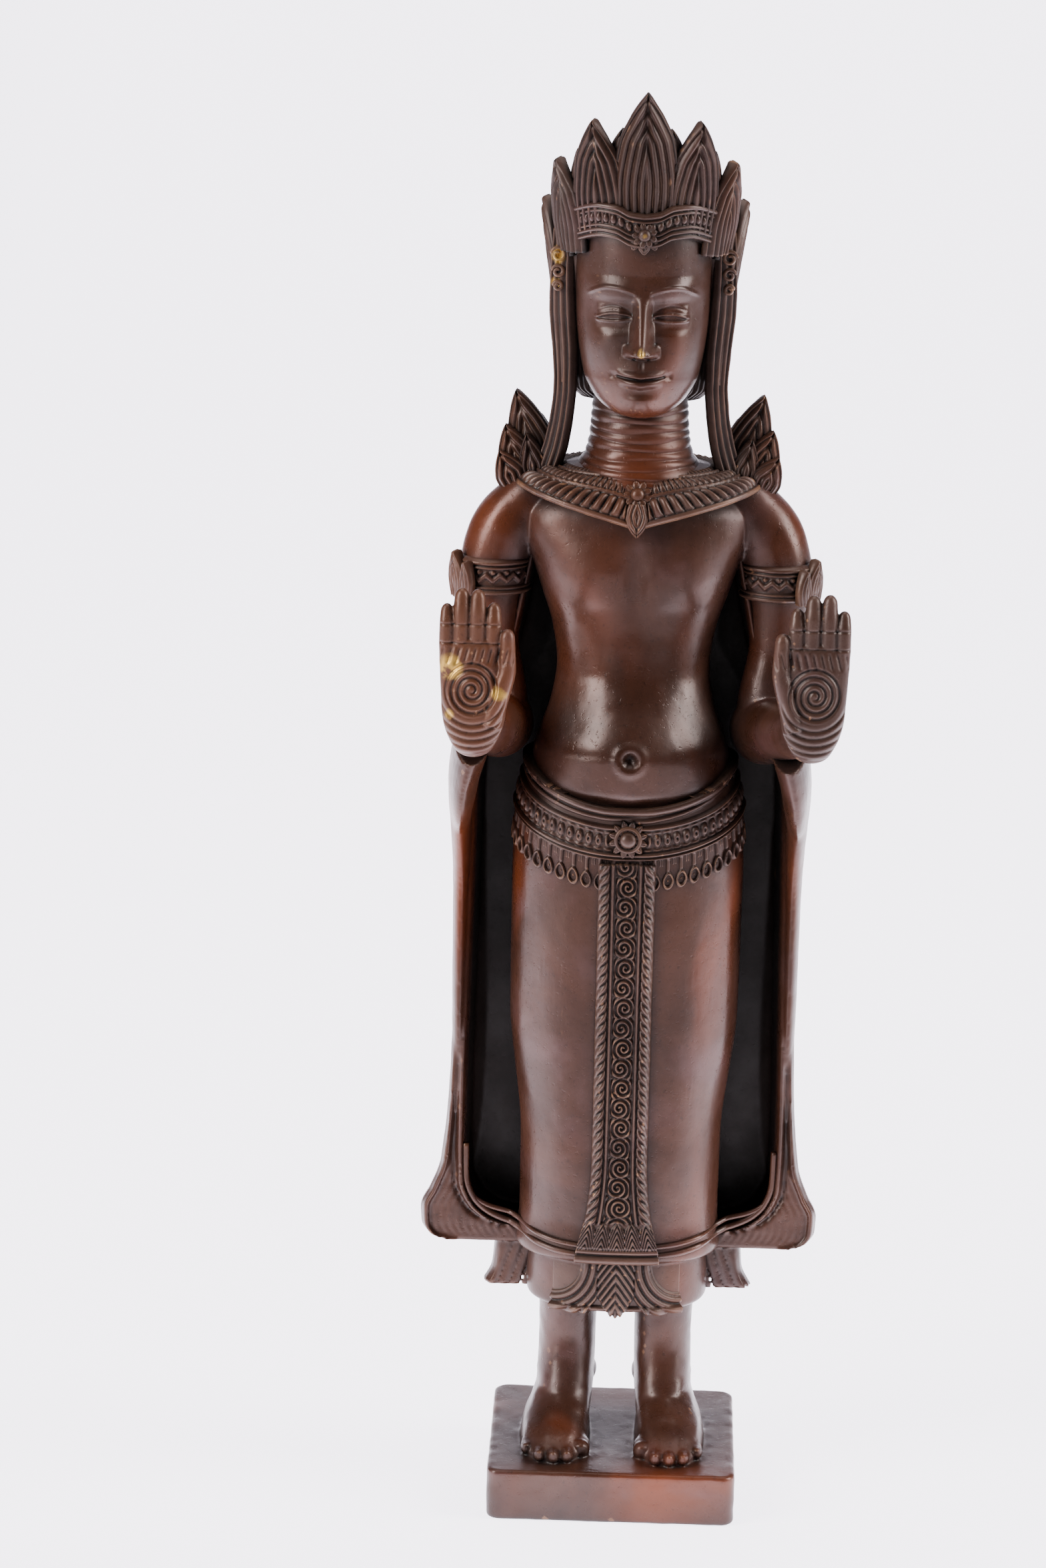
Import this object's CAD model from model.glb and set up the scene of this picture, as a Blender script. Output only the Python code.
# A standing crowned figure in court dress with both palms raised, cast in dark bronze with its square plinth.
# Shapes are worked out in millimetres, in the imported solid's own frame, and scaled to metres at the end.
import functools
import math

import bmesh
import bpy
from mathutils import Matrix, Vector, noise


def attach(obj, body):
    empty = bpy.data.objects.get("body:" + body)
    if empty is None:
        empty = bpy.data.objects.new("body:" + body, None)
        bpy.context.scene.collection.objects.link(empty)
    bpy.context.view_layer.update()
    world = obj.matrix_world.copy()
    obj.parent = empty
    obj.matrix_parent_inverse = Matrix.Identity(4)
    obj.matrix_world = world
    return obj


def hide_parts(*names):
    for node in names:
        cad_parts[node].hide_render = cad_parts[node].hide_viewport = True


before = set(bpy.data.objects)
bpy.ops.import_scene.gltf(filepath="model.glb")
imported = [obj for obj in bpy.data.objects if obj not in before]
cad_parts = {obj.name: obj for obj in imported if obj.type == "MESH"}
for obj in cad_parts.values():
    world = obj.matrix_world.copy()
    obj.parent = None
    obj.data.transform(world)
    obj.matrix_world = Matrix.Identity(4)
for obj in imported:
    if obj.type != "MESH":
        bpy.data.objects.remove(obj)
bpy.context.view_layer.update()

MM = 0.001
TAU = math.tau
FINE = 1.0
JOIN = 0.0006
SIDES = (1, -1)

# Driving dimensions, as in the solid.
AXIS_Y = 3.0
PLINTH = {"width": 55.8, "depth": 53.4, "height": 11.9, "corner": 3.0, "bevel": 0.9}
# Level sections: height, half width, half depth, middle in Y, squareness of the outline.
UNDER_SKIRT = (
    (44.4, 18.4, 13.2, 3.0, 2.3),
    (44.9, 19.6, 14.4, 3.0, 2.3),
    (46.0, 20.5, 15.2, 3.0, 2.3),
    (48.5, 20.6, 15.3, 3.0, 2.3),
    (60.0, 19.8, 14.6, 3.0, 2.3),
)
SKIRT = (
    (56.8, 22.2, 15.9, 3.0, 2.4),
    (57.4, 23.0, 16.8, 3.0, 2.4),
    (58.6, 23.3, 17.1, 3.0, 2.4),
    (61.6, 22.9, 16.6, 3.0, 2.4),
    (66.0, 22.5, 16.2, 3.0, 2.4),
    (83.0, 22.6, 16.2, 3.0, 2.4),
    (114.0, 25.6, 17.0, 3.0, 2.4),
    (146.0, 25.8, 18.2, 2.6, 2.2),
    (162.0, 24.4, 18.4, 2.4, 2.2),
    (171.0, 22.0, 15.8, 3.0, 2.2),
)
TORSO = (
    (161.0, 20.0, 15.0, 2.0, 2.0),
    (167.0, 22.0, 18.0, 0.8, 2.0),
    (173.0, 21.6, 18.2, 0.6, 2.0),
    (185.0, 17.8, 14.2, 2.4, 2.0),
    (192.0, 16.9, 12.8, 3.0, 2.0),
    (200.0, 17.9, 12.8, 3.0, 2.1),
    (208.0, 20.4, 13.6, 3.0, 2.2),
    (215.0, 22.8, 14.2, 3.0, 2.3),
    (221.0, 25.0, 14.2, 3.0, 2.3),
    (226.0, 25.5, 13.6, 3.0, 2.2),
    (230.5, 22.0, 12.8, 3.0, 2.0),
    (235.0, 15.5, 12.0, 2.6, 2.0),
    (240.0, 11.2, 9.6, 2.0, 2.0),
)
HEAD = (
    (249.3, 2.2, 2.2, -10.6, 2.0),
    (249.7, 4.6, 4.6, -9.2, 2.0),
    (250.8, 7.2, 7.6, -7.4, 2.0),
    (253.5, 10.2, 11.4, -4.4, 2.1),
    (258.0, 12.6, 15.0, -1.8, 2.1),
    (271.0, 14.8, 17.6, 0.3, 2.1),
    (281.0, 15.3, 18.3, 0.6, 2.1),
    (288.0, 15.4, 18.6, 0.8, 2.1),
    (295.0, 15.0, 17.8, 1.0, 2.0),
    (300.5, 11.5, 13.4, 1.4, 2.0),
)
HAIR_BACK = (
    (250.8, 13.0, 7.4, 7.2, 2.0),
    (253.6, 16.0, 9.6, 6.8, 2.1),
    (264.0, 17.2, 12.8, 5.6, 2.1),
    (272.0, 17.8, 14.4, 5.0, 2.1),
    (282.0, 18.8, 16.2, 4.4, 2.0),
    (291.0, 19.2, 17.6, 3.4, 2.0),
    (296.5, 16.6, 16.4, 3.0, 2.0),
    (301.0, 11.0, 11.5, 2.6, 2.0),
)
# The leg with its foot has one more value, how far it turns out.
LEG = (
    (11.0, 7.6, 17.4, -4.2, 2.5, 2.2),
    (13.0, 7.9, 17.6, -4.0, 2.5, 2.1),
    (16.2, 7.5, 15.6, -2.6, 2.3, 1.9),
    (19.6, 6.9, 12.2, 0.4, 2.2, 1.0),
    (23.2, 6.5, 9.4, 3.2, 2.1, 0.3),
    (36.0, 6.5, 7.7, 5.2, 2.0, 0.0),
    (52.0, 7.4, 8.6, 5.0, 2.0, 0.0),
)
LEG_X = 10.9
# Limbs: a point in X, Y and Z, and how wide and deep the limb is there.
UPPER_ARM = (
    (18.0, 3.4, 229.6, 5.0, 5.6),
    (21.6, 3.4, 229.2, 6.4, 6.2),
    (25.6, 3.4, 226.0, 7.0, 7.0),
    (29.2, 3.0, 220.5, 7.8, 7.6),
    (31.2, 3.0, 213.0, 7.6, 7.4),
    (31.6, 3.0, 206.0, 6.8, 6.8),
    (31.6, 2.4, 197.0, 6.2, 6.4),
    (30.4, 1.6, 184.0, 7.2, 7.2),
    (29.6, 1.0, 176.0, 6.0, 6.2),
)
ELBOW = (29.6, 1.0, 178.2, 8.0)
WRIST = (-36.5, 185.2, 4.6)
HAND_X = {1: 38.4, -1: 33.4}
HAND_LIFT = {1: 0.6, -1: 0.0}
HAND_Y = -41.6
HAND_FOOT = 182.2
PALM_TOP = 204.4
FINGERS = ((-3.9, 214.2, 1.75), (-0.5, 217.0, 1.9), (2.9, 217.2, 1.85), (6.0, 213.8, 1.6))
# The robe behind: height, half width, how far its back stands behind the body's middle.
ROBE = (
    (56.8, 38.4, 18.6),
    (57.4, 41.4, 20.0),
    (58.6, 43.6, 21.0),
    (60.8, 44.8, 21.6),
    (64.6, 45.0, 22.0),
    (69.0, 43.0, 21.8),
    (76.0, 40.6, 21.4),
    (96.0, 38.9, 21.4),
    (120.0, 38.4, 22.0),
    (148.0, 38.4, 22.8),
    (160.0, 39.4, 22.8),
    (173.0, 39.2, 20.8),
    (184.0, 36.6, 18.4),
    (196.0, 31.6, 17.2),
    (210.0, 28.4, 17.8),
    (224.0, 24.6, 16.6),
    (231.0, 17.0, 13.0),
)
# The edge of the hollow between the skirt and the robe's border: height and half width.
HOLLOW = (
    (60.4, 18.0),
    (61.0, 24.0),
    (62.6, 29.6),
    (66.0, 33.2),
    (71.0, 35.2),
    (80.0, 35.5),
    (125.0, 34.8),
    (166.0, 34.0),
    (175.0, 33.6),
    (184.0, 31.4),
    (196.0, 26.6),
    (210.0, 23.6),
    (224.0, 20.0),
    (231.0, 13.0),
)
HOLLOW_DEPTH = 13.0
ROBE_EDGE = 1.5
ROBE_ROUND = 2.5
ROBE_THICK = 2.2
CURTAIN = (
    (37.0, 4.0, 96.0, 1.0, 3.0),
    (37.0, 3.0, 110.0, 1.7, 5.0),
    (37.0, 1.5, 140.0, 1.9, 5.5),
    (37.2, -3.0, 158.0, 2.4, 8.5),
    (36.6, -7.5, 168.0, 3.4, 13.5),
    (34.6, -10.0, 178.0, 4.2, 15.0),
)


# Small numbers.
def clamp(x, low=0.0, high=1.0):
    return max(low, min(high, x))


def ease(x, low, high):
    t = clamp((x - low) / (high - low))
    return t * t * (3 - 2 * t)


def mix(a, b, t):
    return a + (b - a) * t


def swell(x, middle, half):
    """One at the middle, falling softly to nothing at half away from it."""
    t = (x - middle) / half
    return (1 - t * t) ** 2 if abs(t) < 1 else 0.0


def ridge(x, pitch):
    """Rounded ridges a pitch apart with sharp grooves between them, from 0 to 1."""
    return abs(math.cos(math.pi * x / pitch))


def roll(x, middle, half):
    """A half round bead along a line, one on its crest and nothing at its edges."""
    t = (x - middle) / half
    return math.sqrt(1 - t * t) if abs(t) < 1 else 0.0


def fine(count):
    return max(3, round(count * FINE))


def corner_slope(keys, i, c):
    """The slope of a smooth curve at one of its rows, level where the values turn."""
    if i == 0 or i == len(keys) - 1:
        low, high = (keys[0], keys[1]) if i == 0 else (keys[-2], keys[-1])
        return (high[c] - low[c]) / (high[0] - low[0])
    before = (keys[i][c] - keys[i - 1][c]) / (keys[i][0] - keys[i - 1][0])
    after = (keys[i + 1][c] - keys[i][c]) / (keys[i + 1][0] - keys[i][0])
    return 2 * before * after / (before + after) if before * after > 0 else 0.0


@functools.lru_cache(maxsize=None)
def along(keys, at):
    """The values that belong at a place along rows of values, on a smooth curve through the rows."""
    at = clamp(at, keys[0][0], keys[-1][0])
    i = 1
    while i < len(keys) - 1 and keys[i][0] < at:
        i += 1
    low, high = keys[i - 1], keys[i]
    width = high[0] - low[0]
    t = (at - low[0]) / width
    values = []
    for c in range(1, len(low)):
        start = corner_slope(keys, i - 1, c) * width
        end = corner_slope(keys, i, c) * width
        rise = high[c] - low[c]
        values.append(low[c] + t * (start + t * ((3 * rise - 2 * start - end) + t * (start + end - 2 * rise))))
    return tuple(values)


# Ways of making a mesh.
def skin(bm, columns, rows, place):
    """A grid of faces with its corners moved to place(across, along), its seams joined and its ends closed."""
    made = bmesh.ops.create_grid(bm, x_segments=fine(columns), y_segments=fine(rows), size=0.5)
    for v in made["verts"]:
        v.co = place(clamp(v.co.x + 0.5), clamp(v.co.y + 0.5))
    bmesh.ops.remove_doubles(bm, verts=made["verts"], dist=JOIN)
    rim = [e for e in bm.edges if e.is_boundary]
    if rim:
        bmesh.ops.holes_fill(bm, edges=rim, sides=0)


def ball(bm, middle, radii, columns=20, turn=None):
    made = bmesh.ops.create_uvsphere(bm, u_segments=fine(columns), v_segments=fine(columns * 0.7), radius=1)
    place = Matrix.Translation(middle) @ (turn or Matrix.Identity(4)) @ Matrix.Diagonal((*radii, 1))
    bmesh.ops.transform(bm, matrix=place, verts=made["verts"])


def outline(turn, half_width, half_depth, squareness=2.0):
    c, s = math.cos(turn), math.sin(turn)
    reach = (abs(c) ** squareness + abs(s) ** squareness) ** (-1 / squareness)
    return half_width * reach * c, half_depth * reach * s


def body_point(sections, turn, z, lift=0.0):
    """The body's skin at a turn, where a quarter turn back is the front, and a height."""
    a, b, y, n = along(sections, z)[:4]
    u, v = outline(turn, a + lift, b + lift, n)
    return Vector((u, y + v, z))


def front_of(sections, x, z):
    """The body's front skin straight behind a point seen from the front, and the way it faces there."""
    a, b, y, n = along(sections, z)[:4]
    share = clamp(abs(x) / a, 0, 0.985)
    back = (1 - share**n) ** (1 / n)
    facing = Vector((math.copysign(share ** (n - 1) / a, x), -(back ** (n - 1)) / b, 0))
    return Vector((x, y - b * back, z)), facing.normalized()


def levels(bm, sections, columns, rows, place=body_point):
    """A closed skin through level sections, its rows closer together where the sections are."""
    low, high = sections[0][0], sections[-1][0]
    skin(bm, columns, rows, lambda u, v: place(sections, TAU * (u + 0.25), mix(low, high, v)))


def limb(bm, points, columns, rows, side=1):
    """A limb through points of X, Y, Z, width and depth, whose width lies as near X as it can."""
    keys = tuple((i, *p) for i, p in enumerate(points))
    last = len(points) - 1

    def place(u, v):
        at = v * last
        x, y, z, wide, deep = along(keys, at)
        ahead = Vector(along(keys, min(last, at + 0.02))[:3]) - Vector(along(keys, max(0, at - 0.02))[:3])
        back = ahead.normalized().cross(Vector((1, 0, 0))).normalized()
        across = back.cross(ahead.normalized())
        p = Vector((x, y, z)) + across * (wide * math.cos(TAU * u)) + back * (deep * math.sin(TAU * u))
        return Vector((side * p.x, p.y, p.z))

    skin(bm, columns, rows, place)


def carved(bm, columns, rows, surface, height, outward):
    """A sheet laid over a surface and raised by a height in millimetres, with its rim sunk below it."""
    step = 0.002

    def place(u, v):
        at = surface(u, v)
        across = surface(min(1, u + step), v) - surface(max(0, u - step), v)
        up = surface(u, min(1, v + step)) - surface(u, max(0, v - step))
        facing = across.cross(up).normalized()
        if facing.dot(outward(at)) < 0:
            facing.negate()
        on_rim = min(u, 1 - u, v, 1 - v) < 1e-5
        return at + facing * (-0.9 if on_rim else height(u, v))

    skin(bm, columns, rows, place)


def leaf(
    bm, foot, tip, half, facing, thick=2.0, pitch=1.5, cut=0.5, bend=0.0, base=0.74, belly=0.36, columns=44, rows=44
):
    """A pointed leaf from foot to tip with nested ridges on its front, bent back towards its tip."""
    foot, tip = Vector(foot), Vector(tip)
    up = tip - foot
    length = up.length
    up.normalize()
    across = up.cross(facing).normalized()
    out = across.cross(up).normalized()
    shares = ((0.0, base), (belly * 0.55, mix(base, 1, 0.7)), (belly, 1.0), (0.62, 0.84), (0.82, 0.5), (0.94, 0.2), (1.0, 0.0))

    def place(u, v):
        wide = half * along(shares, v)[0]
        slope = half * (along(shares, min(1, v + 0.02))[0] - along(shares, max(0, v - 0.02))[0]) / (0.04 * length)
        face = u < 0.78
        s = mix(-1, 1, u / 0.78) if face else mix(1, -1, (u - 0.78) / 0.22)
        x = s * wide
        if face:
            inward = (1 - abs(s)) * wide / math.hypot(1, slope)
            rise = thick * 0.5 * math.sqrt(clamp(1 - s**4)) * ease(wide, 0, 0.5)
            rise += cut * (ridge(inward, pitch) - 0.3) * ease(inward, 0, 0.5) * ease(wide, 0, 1.2)
            rise -= cut * 0.8 * ease(v, 0.35, 0.8) * swell(s, 0, 0.3)
        else:
            rise = -thick * 0.5 * math.sqrt(clamp(1 - s**4)) * ease(wide, 0, 0.5)
        return foot + up * (v * length) + across * x + out * (rise - bend * v * v - 0.025 * x * x * (bend != 0))

    skin(bm, columns, rows, place)


def strap(bm, points, facing, ridges=3, cut=0.35, side=1, columns=26, rows=70):
    """A flat strap through points of X, Y, Z, half width and half thickness, with ridges along its front."""
    keys = tuple((i, *p) for i, p in enumerate(points))
    last = len(points) - 1
    facing = Vector(facing)

    def place(u, v):
        at = v * last
        x, y, z, wide, thick = along(keys, at)
        ahead = Vector(along(keys, min(last, at + 0.02))[:3]) - Vector(along(keys, max(0, at - 0.02))[:3])
        across = ahead.cross(facing).normalized()
        out = across.cross(ahead).normalized()
        c, s = math.cos(TAU * u), math.sin(TAU * u)
        lift = thick * math.copysign(abs(s) ** 0.7, s)
        if s > 0:
            lift += cut * (ridge(c * ridges / 2 + (0.5 if ridges % 2 == 0 else 0), 1) - 0.5) * ease(s, 0, 0.4)
        p = Vector((x, y, z)) + across * (wide * math.copysign(abs(c) ** 0.9, c)) + out * lift
        return Vector((side * p.x, p.y, p.z))

    skin(bm, columns, rows, place)


def reworked(bm, *steps):
    """The mesh after modifiers, each given as its kind and its settings."""
    mesh = bpy.data.meshes.new("wax")
    bmesh.ops.recalc_face_normals(bm, faces=bm.faces)
    bm.to_mesh(mesh)
    bm.free()
    wax = bpy.data.objects.new("wax", mesh)
    bpy.context.scene.collection.objects.link(wax)
    for kind, settings in steps:
        step = wax.modifiers.new(kind.lower(), kind)
        for name, value in settings.items():
            setattr(step, name, value)
    made = bmesh.new()
    graph = bpy.context.evaluated_depsgraph_get()
    made.from_mesh(wax.evaluated_get(graph).to_mesh())
    bpy.data.objects.remove(wax)
    bpy.data.meshes.remove(mesh)
    return made


def melted(bm, grain, rounds=3):
    """Overlapping closed shapes melted into one skin and softened where they meet."""
    return reworked(
        bm,
        ("REMESH", {"mode": "VOXEL", "voxel_size": grain / FINE}),
        ("SMOOTH", {"factor": 0.5, "iterations": rounds}),
    )


def thinned(bm, most):
    """The same skin with fewer triangles, where it has more than most."""
    count = sum(len(f.verts) - 2 for f in bm.faces)
    if count <= most:
        return bm
    return reworked(bm, ("DECIMATE", {"ratio": most / count}))


def piece(name, bm, finish, uneven=0.06, soot=None):
    """A finished piece in metres, with the faint unevenness of worked wax. Soot says where the patina is black."""
    bmesh.ops.recalc_face_normals(bm, faces=bm.faces)
    bm.normal_update()
    for v in bm.verts:
        v.co += v.normal * (uneven * noise.noise(v.co * 0.3))
    black = bm.verts.layers.float.new("soot")
    if soot:
        for v in bm.verts:
            v[black] = soot(v.co)
    bmesh.ops.scale(bm, vec=(MM,) * 3, verts=bm.verts)
    mesh = bpy.data.meshes.new(name)
    bm.to_mesh(mesh)
    bm.free()
    mesh.materials.append(finish)
    mesh.shade_smooth()
    made = bpy.data.objects.new(name, mesh)
    bpy.context.scene.collection.objects.link(made)
    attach(made, "root")
    return made


# Finishes.
class Finish:
    """A material built up from nodes, one call a node."""

    def __init__(self, name):
        self.material = bpy.data.materials.new(name)
        self.material.use_nodes = True
        self.tree = self.material.node_tree
        self.shader = self.tree.nodes["Principled BSDF"]
        self.place = self.node("ShaderNodeTexCoord").outputs["Object"]

    def node(self, kind, links=(), **settings):
        made = self.tree.nodes.new(kind)
        for name, value in settings.items():
            setattr(made, name, value)
        for socket, value in dict(links).items():
            if isinstance(value, bpy.types.NodeSocket):
                self.tree.links.new(value, made.inputs[socket])
            else:
                made.inputs[socket].default_value = value
        return made

    def grain(self, scale, detail=3.0, rough=0.55, twist=0.0, stretch=None):
        place = self.place
        if stretch:
            place = self.node("ShaderNodeMapping", {"Vector": place, "Scale": stretch}).outputs["Vector"]
        links = {"Vector": place, "Scale": scale, "Detail": detail, "Roughness": rough, "Distortion": twist}
        return self.node("ShaderNodeTexNoise", links).outputs["Fac"]

    def between(self, value, low, high, out_low=0.0, out_high=1.0):
        links = {"Value": value, "From Min": low, "From Max": high, "To Min": out_low, "To Max": out_high}
        return self.node("ShaderNodeMapRange", links, interpolation_type="SMOOTHSTEP").outputs["Result"]

    def sums(self, how, a, b):
        return self.node("ShaderNodeMath", {0: a, 1: b}, operation=how, use_clamp=True).outputs["Value"]

    def blend(self, share, under, over, how="MIX"):
        made = self.node("ShaderNodeMix", data_type="RGBA", blend_type=how)
        for socket, value in (("Factor_Float", share), ("A_Color", under), ("B_Color", over)):
            target = next(s for s in made.inputs if s.identifier == socket)
            if isinstance(value, bpy.types.NodeSocket):
                self.tree.links.new(value, target)
            else:
                target.default_value = value
        return next(s for s in made.outputs if s.identifier == "Result_Color")

    def spot(self, middle, radius, soft=0.5):
        """One within a radius of a point of the piece, fading to nothing."""
        at = Vector(middle) * MM
        away = self.node("ShaderNodeVectorMath", {0: self.place, 1: at}, operation="DISTANCE").outputs["Value"]
        return self.between(away, radius * MM, radius * MM * soft, 0.0, 1.0)

    def use(self, **sockets):
        for name, value in sockets.items():
            target = self.shader.inputs[name.replace("_", " ")]
            if isinstance(value, bpy.types.NodeSocket):
                self.tree.links.new(value, target)
            else:
                target.default_value = value


def colour(red, green, blue):
    """A colour from its 0 to 255 screen values."""
    straight = [c / 255 / 12.92 if c <= 10 else ((c / 255 + 0.055) / 1.055) ** 2.4 for c in (red, green, blue)]
    return (*straight, 1.0)


BRASS_SPOTS = (
    ((0, -24.4, 265.4), 2.6),
    ((0, -22.4, 289.6), 1.5),
    ((-18.6, -4.5, 283.0), 2.4),
    ((-18.6, -3.5, 277.0), 1.6),
    ((-38.5, -43.0, 200.4), 3.4),
    ((-28.0, -43.5, 195.0), 2.2),
    ((-39.0, -44.0, 190.0), 1.8),
)


def bronze(name, under, over, rubbed, dark, roughness, wear):
    """Bronze under an old brown patina: mottled, rubbed red on the swells, black in the hollows."""
    f = Finish(name)
    mottle = f.between(f.grain(38, 5, 0.6, 0.6), 0.36, 0.66)
    base = f.blend(mottle, under, over)
    broad = f.between(f.grain(21, 3, 0.5, 0.4, (1.0, 1.0, 0.45)), 0.5, 0.68)
    base = f.blend(f.sums("MULTIPLY", broad, 0.8), base, rubbed)
    blush = f.between(f.grain(55, 3, 0.6, 0.3), 0.52, 0.72)
    base = f.blend(f.sums("MULTIPLY", blush, 0.4), base, colour(92, 64, 62))
    speck = f.between(f.grain(900, 2, 0.6), 0.6, 0.75)
    base = f.blend(f.sums("MULTIPLY", speck, 0.3), base, dark)
    shade = f.node("ShaderNodeAmbientOcclusion", {"Distance": 0.012}, samples=2).outputs["AO"]
    base = f.blend(f.between(shade, 0.2, 0.85, 1.0, 0.0), base, dark)
    black = f.node("ShaderNodeAttribute", attribute_name="soot").outputs["Fac"]
    base = f.blend(f.sums("MULTIPLY", black, 0.8), base, dark)
    point = f.node("ShaderNodeNewGeometry").outputs["Pointiness"]
    base = f.blend(f.between(point, 0.42, 0.495, 0.95, 0.0), base, dark)
    edge = f.sums("MULTIPLY", f.between(point, 0.52, 0.62), f.between(f.grain(160, 3), 0.35, 0.65))
    base = f.blend(f.sums("MULTIPLY", edge, wear), base, colour(150, 108, 78))
    brass = 0.0
    for middle, radius in BRASS_SPOTS:
        brass = f.sums("ADD", f.spot(middle, radius), brass)
    brass = f.sums("MULTIPLY", brass, f.between(f.grain(420, 3), 0.34, 0.52))
    base = f.blend(brass, base, colour(206, 164, 84))
    gloss = f.between(f.grain(70, 4, 0.6), 0.3, 0.7, roughness - 0.06, roughness + 0.09)
    scratch = f.grain(240, 3, 0.6, 0.0, (1.0, 1.0, 0.12))
    pits = f.between(f.grain(1100, 2, 0.7), 0.58, 0.8)
    lumps = f.grain(150, 3, 0.5)
    bump = f.node("ShaderNodeBump", {"Strength": 0.22, "Distance": 0.0006, "Height": lumps})
    bump = f.node("ShaderNodeBump", {"Strength": 0.10, "Distance": 0.0002, "Height": scratch, "Normal": bump.outputs[0]})
    bump = f.node(
        "ShaderNodeBump", {"Strength": 0.3, "Distance": 0.00012, "Height": pits, "Normal": bump.outputs[0]}, invert=True
    )
    hollow = f.sums("MAXIMUM", black, f.between(shade, 0.2, 0.8, 1.0, 0.0))
    gloss = f.sums("ADD", gloss, f.sums("MULTIPLY", hollow, 0.25))
    metal = f.between(brass, 0.0, 1.0, 0.25, 0.9)
    f.use(Base_Color=base, Roughness=gloss, Metallic=metal, Normal=bump.outputs[0], IOR=1.5)
    return f.material


PATINA = bronze(
    "bronze_patina", colour(58, 33, 23), colour(76, 46, 34), colour(116, 54, 24), colour(10, 5, 4), 0.3, 0.45
)
CHASED = bronze(
    "bronze_chased", colour(66, 43, 34), colour(86, 61, 51), colour(104, 58, 32), colour(14, 8, 6), 0.36, 0.8
)


# The torso, arms and skirts.
def torso_relief(x, z):
    chest = 1.7 * swell(abs(x), 10.5, 11.5) * swell(z, 214, 10.5) * ease(z, 203.5, 208.5)
    breastbone = -0.7 * swell(x, 0, 3.4) * swell(z, 212, 13)
    belly = 1.6 * swell(x, 0, 15) * swell(z, 182, 20)
    from_navel = math.hypot(x, z - 174.7)
    navel = -1.9 * swell(from_navel, 0, 2.3) + 0.5 * swell(from_navel, 2.9, 1.5)
    return chest + breastbone + belly + navel


def skirt_relief(x, z):
    thigh = 1.3 * swell(abs(x), 12.8, 9.5) * ease(z, 62, 84) * (1 - ease(z, 128, 150))
    return thigh - 0.5 * swell(x, 0, 5) * ease(z, 62, 84)


def torso_point(sections, turn, z, lift=0.0):
    p = body_point(sections, turn, z, lift)
    p.y -= torso_relief(p.x, z) * clamp(-math.sin(turn)) ** 0.5
    return p


def skirt_point(sections, turn, z, lift=0.0):
    p = body_point(sections, turn, z, lift)
    p.y -= skirt_relief(p.x, z) * clamp(-math.sin(turn)) ** 0.5
    return p


def skirt_front(x, z):
    p, facing = front_of(SKIRT, x, z)
    p.y -= skirt_relief(x, z)
    return p


def forearm(side):
    hand_x = HAND_X[side]
    y, z, r = WRIST
    lift = HAND_LIFT[side]
    ex, ey, ez, er = ELBOW
    return (
        (ex - 0.6, ey + 5.5, ez, 4.6, 4.6),
        (ex, ey, ez, er - 0.5, er - 0.5),
        ((2 * ex + hand_x) / 3, (2 * ey + y) / 3, (2 * ez + z + lift) / 3, 6.6, 6.6),
        ((ex + 2 * hand_x) / 3, (ey + 2 * y) / 3, (ez + 2 * (z + lift)) / 3, 5.4, 5.4),
        (hand_x - 0.4, y + 1.5, z + lift, r, r),
        (hand_x, y - 3.4, z + lift + 1.2, 4.0, 3.8),
    )


def make_body():
    bm = bmesh.new()
    levels(bm, UNDER_SKIRT, 120, 24)
    levels(bm, SKIRT, 160, 180, skirt_point)
    levels(bm, TORSO, 160, 160, torso_point)
    for side in SIDES:
        limb(bm, UPPER_ARM, 40, 80, side)
        limb(bm, forearm(side), 36, 50, side)
        x, y, z, r = ELBOW
        ball(bm, (side * x, y, z), (r, r, r), 28)
    bm = thinned(melted(bm, 0.42, 8), 190000)
    made = piece("body_casting", bm, PATINA)
    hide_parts("statue")


# The robe behind, with its borders, its hollows and the cloth that falls from the forearms.
def robe_front(x, z, half, depth):
    """How far back the robe's front face stands: a border with two raised lines round a deep hollow."""
    x = abs(x)
    edge = along(HOLLOW, z)[0]
    border = half - edge
    if x < edge:
        back = depth * (1 - min(1, x / half) ** ROBE_ROUND) ** (1 / ROBE_ROUND)
        return min(HOLLOW_DEPTH, back - ROBE_THICK) * ease(edge - x, 0, 1.5) if z > 60.4 else 0.0
    inner = 0.9 * roll(x, edge + 0.65, 0.65)
    outer = 0.8 * roll(x, half - 1.1, 0.8)
    groove = 0.7 * swell(x, edge + 2.2, 1.0) if border > 3 else 0.0
    fan = 0.35 * ridge(half - x, 1.7) * (1 - ease(z, 66, 84)) * ease(x, edge + 1.6, edge + 2.6)
    return groove - inner - outer - fan


def robe_point(u, v):
    z = mix(ROBE[0][0], ROBE[-1][0], v)
    half, depth = along(ROBE, z)
    if u < 0.22:
        x, y = outline(math.pi * u / 0.22, half, depth, ROBE_ROUND)
        return Vector((x, max(ROBE_EDGE, y), z))
    s = mix(-1, 1, (u - 0.22) / 0.78)
    share = abs(s)
    x = math.copysign(mix(0, 0.42, share / 0.12) if share < 0.12 else mix(0.42, 1, (share - 0.12) / 0.88), s) * half
    return Vector((x, mix(robe_front(x, z, half, depth), ROBE_EDGE, ease(share, 0.965, 1)), z))


def make_robe():
    bm = bmesh.new()
    skin(bm, 300, 330, robe_point)
    for side in SIDES:
        limb(bm, CURTAIN, 30, 70, side)
        fishtail(bm, side)
    bm = thinned(melted(bm, 0.42, 2), 190000)
    piece("robe_casting", bm, PATINA, soot=robe_soot)


def robe_soot(p):
    """Black in the robe's hollows, where no hand has rubbed it."""
    return ease(p.y, 0.8, 4.0) * (1 - ease(p.y, 14.0, 17.0)) * (1 - ease(abs(p.x), 35.0, 36.5)) * ease(p.z, 60, 64)


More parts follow.
